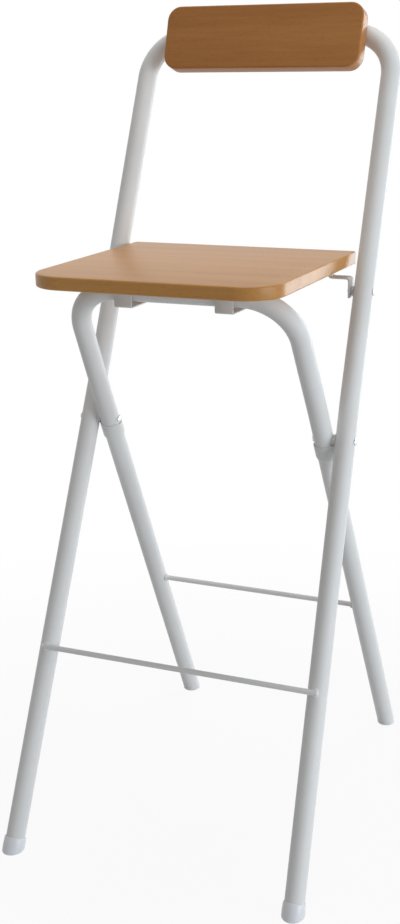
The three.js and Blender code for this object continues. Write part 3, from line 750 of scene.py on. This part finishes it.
def make_rear_leg(label, side):
    """A lower rear leg with its top widened into a socket and its foot cut level."""
    top, floor, heading = rear_leg_line(side)
    outer = clear_radius + tube_wall
    ease = socket_rim_rounding * socket_rim_ease
    taper_end = socket_depth + socket_taper
    end = (floor - top).length + 2 * tube_radius
    mouth = tube_radius + socket_mouth_gap
    outline = [
        (mouth, 0),
        (outer - socket_rim_rounding, 0),
        (outer - ease, ease),
        (outer, socket_rim_rounding),
        (outer, socket_depth - socket_shoulder_length),
        (outer - socket_shoulder_step, socket_depth),
        (tube_radius + socket_shoulder_step, taper_end),
        (tube_radius, taper_end + socket_shoulder_length),
        (tube_radius, end),
        (tube_bore_radius, end),
        (tube_bore_radius, socket_depth + tube_wall),
        (clear_radius, socket_depth),
        (clear_radius, socket_mouth_end),
        (mouth, socket_mouth_length),
        (mouth, 0),
    ]
    leg = turned("rear_leg_tube_" + label, outline, top, heading, tube_sides, hollow=True)
    block_middle = Vector((floor.x, floor.y, plug_flange_thickness - foot_block_size / 2))
    below = slab("below", block_middle, (foot_block_size,) * 3)
    notch_radius = main_spacer_radius + socket_notch_gap
    notch = cross_bore(main_pivot, side, rear_half_width_at_pivot, notch_radius, outer)
    cut(leg, [below, notch])
    smooth(leg)
    hand_over(leg, white_paint, "rear_frame", "paint", "rear_leg_" + label)


# Rungs


def weld_bead(place, lean):
    """A short bead with the ripples that the welding torch leaves."""
    select_nothing()
    bpy.ops.mesh.primitive_uv_sphere_add(
        segments=bead_sides,
        ring_count=bead_rings,
        radius=1,
        location=place,
        rotation=(-lean, 0, 0),
        scale=(bead_length / 2, bead_thickness / 2, bead_height / 2),
    )
    bead = begin("bead")
    mesh = bmesh.from_edit_mesh(bead.data)
    for vert in mesh.verts:
        offset = vert.co - place
        turn = 2 * math.pi * bead_ripples * offset.x / bead_length
        wave = 1 + bead_ripple_share * math.cos(turn)
        vert.co = place + Vector((offset.x, offset.y * wave, offset.z * wave))
    bmesh.update_edit_mesh(bead.data)
    return close(bead)


def make_front_rung():
    along = -front_rung_below_pivot
    leg_half_width = front_width_below(along)
    forward = tube_radius + rung_radius - front_rung_sink
    half_length = leg_half_width + front_rung_past_leg_axis
    rounding = front_rung_end_rounding
    length = 2 * half_length
    outline = []
    for i in range(rung_end_steps + 1):
        angle = math.pi / 2 * i / rung_end_steps
        radius = rung_radius - rounding * (1 - math.sin(angle))
        outline.append((radius, rounding * (1 - math.cos(angle))))
    outline += [(radius, length - start) for radius, start in reversed(outline)]
    rung = turned("front_rung_bar", outline, on_front_frame(-half_length, along, forward), X)
    for side in sides.values():
        for offset in (-rung_radius, rung_radius):
            place = on_front_frame(side * leg_half_width, along + offset, tube_radius)
            cut(rung, [weld_bead(place, front_lean)], "UNION")
        low = on_front_frame(side * front_half_width_at_floor, front_floor_along)
        high = on_front_frame(side * front_half_width_at_pivot, 0)
        cut(rung, [rod("leg", low, high, clear_radius)])
    merge_close(rung, front_rung_merge)
    use(rung, "TRIANGULATE", quad_method="BEAUTY", ngon_method="BEAUTY")
    draw_together_doubled_edges(rung)
    smooth(rung, cut_crease)
    hand_over(rung, white_paint, "front_frame", "paint", "front_rung")


def make_rear_rung():
    along = -rear_rung_below_pivot
    half = rear_width_below(along)
    outline = [(weld_collar_radius, tube_radius / 2)]
    for i in range(weld_collar_steps + 1):
        share = i / weld_collar_steps
        curve = 1 - math.sqrt(1 - (1 - share) ** 2)
        radius = rung_radius + (weld_collar_radius - rung_radius) * curve
        outline.append((radius, clear_radius + weld_collar_gap + weld_collar_length * share))
    outline += [(radius, 2 * half - place) for radius, place in reversed(outline)]
    rung = turned("rear_rung_bar", outline, on_rear_frame(-half, along), X)
    for side in sides.values():
        top, floor, _ = rear_leg_line(side)
        cut(rung, [rod("leg", top, floor, clear_radius)])
    smooth(rung, cut_crease)
    hand_over(rung, white_paint, "rear_frame", "paint", "rear_rung")


# Rivets and spacers


def rivet_outline(grip):
    """Formed tail, shank and domed head."""
    head_radius = rivet_head_radius
    tail = head_radius * rivet_tail_share
    outline = [(tail * wide, -rivet_tail_height * deep) for wide, deep in rivet_tail_profile]
    outline += [
        (rivet_radius, 0),
        (rivet_radius, grip),
        (head_radius * rivet_head_foot_share, grip),
        (head_radius, grip + rivet_head_height * rivet_head_rim_share),
    ]
    dome_share = 1 - rivet_head_rim_share
    for i in range(1, rivet_dome_steps + 1):
        angle = math.pi / 2 * i / rivet_dome_steps
        radius = head_radius * max(math.cos(angle), dome_tip_share)
        height = rivet_head_height * (rivet_head_rim_share + dome_share * math.sin(angle))
        outline.append((radius, grip + height))
    return outline


def make_rivet(name, node, centre, side, inner_x, outer_x):
    place = Vector((side * inner_x, centre.y, centre.z))
    piece = turned(name, rivet_outline(outer_x - inner_x), place, X * side, pole=True)
    smooth(piece, rivet_crease)
    hand_over(piece, rivet_zinc, "front_frame", "rivet_steel", node)


def make_spacer(name, node, centre, side, inner_x, outer_x, radius, hollows):
    """A plain ring round a rivet, hollowed to sit on the tubes beside it."""
    inner = Vector((side * inner_x, centre.y, centre.z))
    outer = Vector((side * outer_x, centre.y, centre.z))
    piece = rod(name, inner, outer, radius)
    bore = cross_bore(centre, side, (inner_x + outer_x) / 2, rivet_radius + bore_gap)
    cut(piece, [bore] + hollows)
    merge_close(piece, spacer_merge)
    round_edges(piece, spacer_edge_rounding)
    merge_close(piece, spacer_edge_merge)
    smooth(piece, cut_crease)
    hand_over(piece, spacer_plastic, "front_frame", "spacer_plastic", node)


def make_main_pivot(label, side):
    inner_x = rear_half_width_at_pivot - tube_radius - seating_gap
    outer_x = front_half_width_at_pivot + tube_radius + seating_gap
    make_rivet(
        "main_rivet_" + label, "main_pivot_rivet_" + label,
        main_pivot, side, inner_x, outer_x,
    )
    low = on_front_frame(side * front_half_width_at_floor, front_floor_along)
    high = on_front_frame(side * front_splay_half_width, front_splay_bend_above_pivot)
    hollows = [rod("tube", low, high, clear_radius)]
    for i in range(fold_steps + 1):
        lean = rear_lean - fold_range * i / fold_steps
        up = Vector((0, -math.sin(lean), math.cos(lean)))
        reach = 2 * tube_radius
        low = main_pivot + X * side * rear_width_below(-reach) - up * reach
        high = main_pivot + X * side * rear_width_below(reach) + up * reach
        hollows.append(rod("tube", low, high, clear_radius))
    make_spacer(
        "main_spacer_" + label, "main_pivot_spacer_" + label,
        main_pivot, side, rear_half_width_at_pivot, front_half_width_at_pivot,
        main_spacer_radius, hollows,
    )


bracket_inner_x = seat_half_width + bracket_side_clearance
bracket_outer_x = bracket_inner_x + bracket_thickness


def make_seat_pivot(label, side):
    inner_x = bracket_inner_x - seating_gap
    outer_x = seat_pivot_half_width + tube_radius + seating_gap
    make_rivet(
        "seat_rivet_" + label, "seat_pivot_rivet_" + label,
        seat_pivot, side, inner_x, outer_x,
    )
    low = on_front_frame(side * front_splay_half_width, front_splay_bend_above_pivot)
    high = on_front_frame(side * front_half_width_at_top, front_top_above_pivot)
    hollow = rod("tube", low, high, clear_radius)
    make_spacer(
        "seat_spacer_" + label, "seat_pivot_spacer_" + label,
        seat_pivot, side, bracket_outer_x + seating_gap, seat_pivot_half_width,
        seat_spacer_radius, [hollow],
    )


# Screws

bracket_reach = bracket_foot_length + bracket_step_length + bracket_arm_length
bracket_foot_inner_x = bracket_inner_x - bracket_reach
guide_front = -crossbar_before_pivot - tube_radius - guide_end_clearance
guide_rear = -guide_rear_stop_before_pivot
bracket_grip = bracket_thickness + 2 * seating_gap
guide_grip = guide_thickness + 2 * seating_gap
backrest_grip = 2 * tube_radius + seating_gap + backrest_gap


def bracket_screw_places(side):
    first_x = bracket_foot_inner_x + bracket_screw_margin
    return [
        on_seat(side * (first_x + step * bracket_screw_spacing), 0, -bracket_grip)
        for step in (0, 1)
    ]


def backrest_screw_place(side):
    middle = on_front_frame(side * backrest_screw_half_spacing, front_top_above_pivot)
    return middle - backrest_forward * clear_radius


def guide_screw_places(side):
    front_y = guide_front - guide_foot_length + guide_screw_margin
    rear_y = guide_rear + guide_foot_length - guide_screw_margin
    return [on_seat(side * guide_half_spacing, y, -guide_grip) for y in (front_y, rear_y)]


def screw_bore(place, direction, length):
    return rod(
        "bore", place - direction * overrun, place + direction * (length + seating_gap),
        screw_radius + bore_gap, bore_sides,
    )


def model_screw(grip):
    """A pan-head wood screw, head down at the origin, with a cross recess in its head."""
    length = grip + screw_bite
    outline = [
        (screw_head_radius * wide, -screw_head_height * high)
        for wide, high in screw_head_profile
    ]
    outline += [
        (screw_radius, 0),
        (screw_radius, length - screw_point_length),
        (screw_radius * screw_tip_share, length),
    ]
    screw = turned("screw", outline, Vector((0, 0, 0)), Z, pole=True)
    middle = Vector((0, 0, (screw_recess_depth - overrun) / 2 - screw_head_height))
    height = screw_recess_depth + overrun
    recesses = [
        slab("recess", middle, (screw_recess_length, screw_recess_width, height)),
        slab("recess", middle, (screw_recess_width, screw_recess_length, height)),
    ]
    cut(screw, recesses)
    smooth(screw, moulded_crease)
    return screw


def place_screw(model, name, node, place, direction, body):
    """A copy of the modelled screw with its own mesh, driven in at a place."""
    choose(model)
    bpy.ops.object.duplicate()
    screw = bpy.context.object
    screw.name = name
    screw.data.name = name
    screw.location = place
    screw.rotation_euler = direction.to_track_quat("Z", "Y").to_euler()
    bpy.ops.object.transform_apply(location=True, rotation=True, scale=True)
    hand_over(screw, screw_zinc, body, "screw_steel", node)


def make_screws():
    bracket_model = model_screw(bracket_grip)
    guide_model = model_screw(guide_grip)
    backrest_model = model_screw(backrest_grip)
    for label, side in sides.items():
        for number, place in enumerate(bracket_screw_places(side), 1):
            name = f"{label}_{number}"
            place_screw(
                bracket_model, "screw_of_bracket_" + name, "bracket_screw_" + name,
                place, seat_up, "seat",
            )
        for end, place in zip(("front", "rear"), guide_screw_places(side)):
            name = f"{label}_{end}"
            place_screw(
                guide_model, "screw_of_guide_" + name, "guide_screw_" + name,
                place, seat_up, "seat",
            )
        place_screw(
            backrest_model, "screw_of_backrest_" + label, "backrest_screw_" + label,
            backrest_screw_place(side), backrest_forward, "front_frame",
        )
    for model in (bracket_model, guide_model, backrest_model):
        bpy.data.objects.remove(model)


# Seat, brackets and guide straps


def board(name, middle, tilt, half_width, half_depth, corner_radii, thickness, rounding):
    """A board with round corners and softened edges.

    The first of the two corner radii is for the corners at -Y, while the board lies flat.
    """
    select_nothing()
    bpy.ops.mesh.primitive_plane_add(size=1)
    piece = begin(name)
    full_size = (2 * half_width, 2 * half_depth, 1)
    bpy.ops.transform.resize(value=full_size, center_override=(0, 0, 0))
    for near, radius in zip((-1, 1), corner_radii):
        pick(piece, "VERT", lambda vert: vert.co.y * near > half_depth - almost_touching)
        bpy.ops.mesh.bevel(offset=radius, segments=board_corner_steps, affect="VERTICES")
    select_all_of_it()
    push(Z * thickness)
    select_all_of_it()
    bpy.ops.mesh.normals_make_consistent(inside=False)
    pick(piece, "EDGE", lambda edge: abs(ends(edge)[0].z - ends(edge)[1].z) < touching)
    bpy.ops.mesh.bevel(offset=rounding, segments=soft_edge_steps, affect="EDGES", profile=0.5)
    close(piece)
    piece.rotation_euler = (tilt, 0, 0)
    piece.location = middle
    bpy.ops.object.transform_apply(location=True, rotation=True, scale=True)
    return piece


def make_seat_board():
    middle = on_seat(0, seat_rear_overhang - seat_depth / 2, 0)
    seat = board(
        "seat_panel", middle, -seat_tilt, seat_half_width, seat_depth / 2,
        (seat_front_corner_radius, seat_rear_corner_radius), seat_thickness, seat_edge_rounding,
    )
    for side in sides.values():
        for place in bracket_screw_places(side):
            cut(seat, [screw_bore(place, seat_up, bracket_grip + screw_bite)])
        for place in guide_screw_places(side):
            cut(seat, [screw_bore(place, seat_up, guide_grip + screw_bite)])
    smooth(seat)
    hand_over(seat, seat_beech, "seat", "wood", "seat_board")


def make_backrest():
    middle = on_front_frame(0, front_top_above_pivot) - backrest_up * backrest_below_top_tube
    middle += backrest_forward * (tube_radius + backrest_gap)
    back = board(
        "backrest_panel", middle, math.pi / 2 - backrest_lean,
        backrest_half_width, backrest_half_height, (backrest_corner_radius,) * 2,
        backrest_thickness, backrest_edge_rounding,
    )
    for side in sides.values():
        place = backrest_screw_place(side)
        cut(back, [screw_bore(place, backrest_forward, backrest_grip + screw_bite)])
    smooth(back)
    hand_over(back, backrest_beech_painted_shade, "front_frame", "wood", "backrest_board")


def bent_strip(name, corners, bend_radius, across, width, thickness):
    """A flat strip, bent at its corners. Across is the direction of its width."""
    heading = (corners[1] - corners[0]).normalized()
    select_nothing()
    bpy.ops.mesh.primitive_plane_add(size=1)
    piece = begin(name)
    thin = heading.cross(across).normalized()
    mesh = bmesh.from_edit_mesh(piece.data)
    for vert in mesh.verts:
        vert.co = corners[0] + across * (vert.co.x * width) + thin * (vert.co.y * thickness)
    bmesh.update_edit_mesh(piece.data)
    bpy.ops.mesh.delete(type="ONLY_FACE")
    select_all_of_it()
    bends = len(corners) - 2
    sweep(corners, [bend_radius] * bends, [strip_bend_steps] * bends)
    bpy.ops.mesh.edge_face_add()
    pick(piece, "VERT", lambda vert: abs((vert.co - corners[0]).dot(heading)) < touching)
    bpy.ops.mesh.edge_face_add()
    return close(piece)


def make_bracket(label, side):
    mid = bracket_thickness / 2
    foot_z = -seating_gap - mid
    arm_z = -bracket_drop - mid
    step_start = bracket_foot_inner_x + bracket_foot_length
    leg_x = bracket_inner_x + mid
    corners = [
        on_seat(side * x, 0, z)
        for x, z in [
            (bracket_foot_inner_x, foot_z),
            (step_start, foot_z),
            (step_start + bracket_step_length, arm_z),
            (leg_x, arm_z),
            (leg_x, -pivot_below_seat - bracket_below_pivot),
        ]
    ]
    bracket = bent_strip(
        "bracket_" + label, corners, bracket_bend_radius,
        seat_forward, bracket_width, bracket_thickness,
    )
    cut(bracket, [cross_bore(seat_pivot, side, leg_x, rivet_radius + bore_gap, bracket_thickness)])
    for place in bracket_screw_places(side):
        cut(bracket, [screw_bore(place, seat_up, bracket_grip)])
    round_edges(bracket, bracket_edge_rounding)
    smooth(bracket)
    hand_over(bracket, strip_paint, "seat", "bracket_paint", "seat_bracket_" + label)


def make_guide_strap(label, side):
    mid = guide_thickness / 2
    foot_z = -seating_gap - mid
    floor_z = -clear_radius - tube_radius - guide_play - mid
    corners = [
        on_seat(side * guide_half_spacing, y, z)
        for y, z in [
            (guide_front - mid - guide_foot_length, foot_z),
            (guide_front - mid, foot_z),
            (guide_front - mid, floor_z),
            (guide_rear + mid, floor_z),
            (guide_rear + mid, foot_z),
            (guide_rear + mid + guide_foot_length, foot_z),
        ]
    ]
    strap = bent_strip(
        "strap_" + label, corners, guide_bend_radius, X, guide_width, guide_thickness
    )
    for place in guide_screw_places(side):
        cut(strap, [screw_bore(place, seat_up, guide_grip)])
    round_edges(strap, guide_edge_rounding)
    smooth(strap)
    hand_over(strap, strip_paint, "seat", "bracket_paint", "guide_strap_" + label)


# Feet


def make_front_cap(label, side):
    """A slip-on foot cap, cut level with the floor, with grooves in its tread."""
    floor = on_front_frame(side * front_half_width_at_floor, front_floor_along)
    heading = on_front_frame(side * front_half_width_at_pivot, 0) - floor
    outer = clear_radius + cap_wall
    pocket = front_tube_end_above_floor - seating_gap
    outline = [
        (outer + cap_flare, -2 * tube_radius),
        (outer + cap_flare, cap_straight_height),
        (outer, cap_height - cap_rim_rounding),
        *((outer - inward, cap_height - down) for inward, down in cap_rim_profile),
        (clear_radius + cap_mouth_chamfer, cap_height),
        (clear_radius, cap_height - cap_mouth_chamfer),
        (clear_radius, pocket),
    ]
    cap = turned("foot_cap_" + label, outline, floor, heading, tube_sides)
    reopen(cap)
    bpy.ops.mesh.bisect(plane_co=(0, 0, 0), plane_no=Z, use_fill=True, clear_inner=True)
    pick(cap, "EDGE", lambda edge: all(end.z < touching for end in ends(edge)))
    bpy.ops.mesh.bevel(
        offset=cap_floor_edge_rounding, segments=soft_edge_steps, affect="EDGES"
    )
    close(cap)
    first = floor - Y * groove_spacing * (groove_count - 1) / 2
    grooves = slab("grooves", first, (groove_length, groove_width, 2 * groove_depth))
    use(
        grooves, "ARRAY", count=groove_count, use_relative_offset=False,
        use_constant_offset=True, constant_offset_displace=Y * groove_spacing,
    )
    cut(cap, [grooves])
    smooth(cap, moulded_crease)
    hand_over(cap, foot_plastic, "front_frame", "foot_plastic", "front_foot_cap_" + label)


def make_rear_plug(label, side):
    """A plug pushed into the open foot of a rear leg, with a level flange under it."""
    _, floor, heading = rear_leg_line(side)
    reach = heading * plug_blank_reach
    radius = tube_radius + plug_flange_lip
    level = plug_flange_thickness - seating_gap
    plug = rod("foot_plug_" + label, floor + reach, floor - reach, radius)
    reopen(plug)
    for height, keep_above in ((0.0, True), (level, False)):
        select_all_of_it()
        bpy.ops.mesh.bisect(
            plane_co=(0, 0, height), plane_no=Z, use_fill=True,
            clear_inner=keep_above, clear_outer=not keep_above,
        )
    close(plug)
    round_edges(plug, plug_flange_rounding, flange_edge_steps, flange_edge_angle)
    stem_radius = tube_bore_radius - plug_stem_clearance
    stem_end = (plug_flange_thickness + plug_stem_length) / math.cos(rear_lean)
    stem_outline = [
        (stem_radius, plug_stem_start),
        (stem_radius, stem_end - plug_stem_chamfer),
        (stem_radius - plug_stem_chamfer, stem_end),
    ]
    stem = turned("stem", stem_outline, floor, -heading, tube_sides)
    cut(plug, [stem], "UNION")
    smooth(plug, moulded_crease)
    hand_over(plug, foot_plastic, "rear_frame", "foot_plastic", "rear_foot_plug_" + label)


make_front_tube()
make_rear_tube()
make_front_rung()
make_rear_rung()
make_seat_board()
make_backrest()
for label, side in sides.items():
    make_rear_leg(label, side)
    make_main_pivot(label, side)
    make_seat_pivot(label, side)
    make_bracket(label, side)
    make_guide_strap(label, side)
    make_front_cap(label, side)
    make_rear_plug(label, side)
make_screws()


# Studio


def stand(name, data):
    """Puts a camera or a lamp into the scene."""
    thing = bpy.data.objects.new(name, data)
    bpy.context.scene.collection.objects.link(thing)
    return thing


def make_camera():
    """The photograph's view, from the front right and above the seat."""
    data = bpy.data.cameras.new("camera")
    data.sensor_width = 36
    data.lens = 53.93
    data.shift_x = -0.0013
    data.shift_y = 0.026
    data.clip_start = 0.05
    data.clip_end = 100
    camera = stand("camera", data)
    right = Vector((0.917581, 0.396857, -0.023455))
    up = Vector((-0.106814, 0.302936, 0.947006))
    back = Vector((0.382931, -0.866449, 0.320358))
    turn = camera.matrix_world.to_3x3()
    turn.col[0], turn.col[1], turn.col[2] = right, up, back
    camera.matrix_world = turn.to_4x4()
    camera.location = (0.67418, -1.58119, 1.02445)
    bpy.context.scene.camera = camera


def area_light(name, place, target, size, power, colour):
    data = bpy.data.lights.new(name, "AREA")
    data.shape = "RECTANGLE"
    data.size, data.size_y = size
    data.energy = power
    data.color = colour
    lamp = stand(name, data)
    lamp.location = place
    lamp.rotation_euler = (Vector(target) - Vector(place)).to_track_quat("-Z", "Y").to_euler()
    lamp.visible_camera = False


def math_on(tree, operation, first, second):
    node = add_node(tree, "ShaderNodeMath", operation=operation)
    tree.links.new(first, node.inputs[0])
    tree.links.new(second, node.inputs[1])
    return node.outputs[0]


def ray_kinds(tree, *kinds):
    """One for a ray of any of these kinds, otherwise zero."""
    path = add_node(tree, "ShaderNodeLightPath")
    result = path.outputs[kinds[0]]
    for kind in kinds[1:]:
        result = math_on(tree, "MAXIMUM", result, path.outputs[kind])
    return result


def background(tree, strength):
    node = add_node(tree, "ShaderNodeBackground")
    set_values(node, Color=(1, 1, 1, 1), Strength=strength)
    return node.outputs[0]


def mix_shaders(tree, share, first, second):
    mix = add_node(tree, "ShaderNodeMixShader")
    for value, socket in zip((share, first, second), mix.inputs):
        tree.links.new(value, socket)
    return mix.outputs[0]


def make_world():
    """Soft light all round. The camera, gloss and glass see plain white."""
    world = bpy.data.worlds.new("studio")
    bpy.context.scene.world = world
    world.use_nodes = True
    tree = world.node_tree
    tree.nodes.clear()
    output = add_node(tree, "ShaderNodeOutputWorld")
    soft = background(tree, strength=0.30)
    white = background(tree, strength=1.0)
    seen = ray_kinds(tree, "Is Camera Ray", "Is Glossy Ray", "Is Transmission Ray")
    tree.links.new(mix_shaders(tree, seen, soft, white), output.inputs["Surface"])


def make_floor():
    """A pale floor that turns into the white background within a metre of the stool."""
    select_nothing()
    bpy.ops.mesh.primitive_plane_add(size=30, location=(0, 0, 0))
    floor = bpy.context.object
    floor.name = "floor"
    finish, tree, shader = new_finish("pale_floor")
    grey = (0.65, 0.65, 0.65, 1)
    set_values(shader, Base_Color=grey, Roughness=0.8, Specular_IOR_Level=0.0)
    place = add_node(tree, "ShaderNodeTexCoord")
    distance = add_node(tree, "ShaderNodeVectorMath", operation="LENGTH")
    tree.links.new(place.outputs["Object"], distance.inputs[0])
    whiteness = range_on(
        tree, distance.outputs["Value"], low=0.93, high=1.0, from_low=0.35, from_high=1.0
    )
    seen = math_on(tree, "MULTIPLY", whiteness, ray_kinds(tree, "Is Camera Ray"))
    mirrored = ray_kinds(tree, "Is Glossy Ray", "Is Transmission Ray")
    white_share = math_on(tree, "MAXIMUM", seen, mirrored)
    white = add_node(tree, "ShaderNodeEmission")
    set_values(white, Strength=1.0)
    surface = mix_shaders(tree, white_share, shader.outputs[0], white.outputs[0])
    tree.links.new(surface, tree.nodes["Material Output"].inputs["Surface"])
    floor.data.materials.append(finish)


def make_lamps():
    """A wide panel far out on the right, a narrow one behind the right, and one overhead."""
    cool = (0.87, 0.945, 1.0)
    warm = (1.0, 0.98, 0.94)
    area_light(
        "panel_right", place=(5.0, -0.9, 0.95), target=(0, 0, 0.5),
        size=(4.2, 1.8), power=122, colour=cool,
    )
    area_light(
        "panel_behind_right", place=(0.78, 1.85, 0.68), target=(0, 0, 0.68),
        size=(0.6, 1.3), power=13, colour=cool,
    )
    area_light(
        "panel_overhead", place=(0, 0.4, 2.9), target=(0, 0, 0.75),
        size=(1.6, 1.6), power=20, colour=warm,
    )


make_camera()
make_world()
make_floor()
make_lamps()
bpy.context.scene.view_settings.view_transform = "Standard"
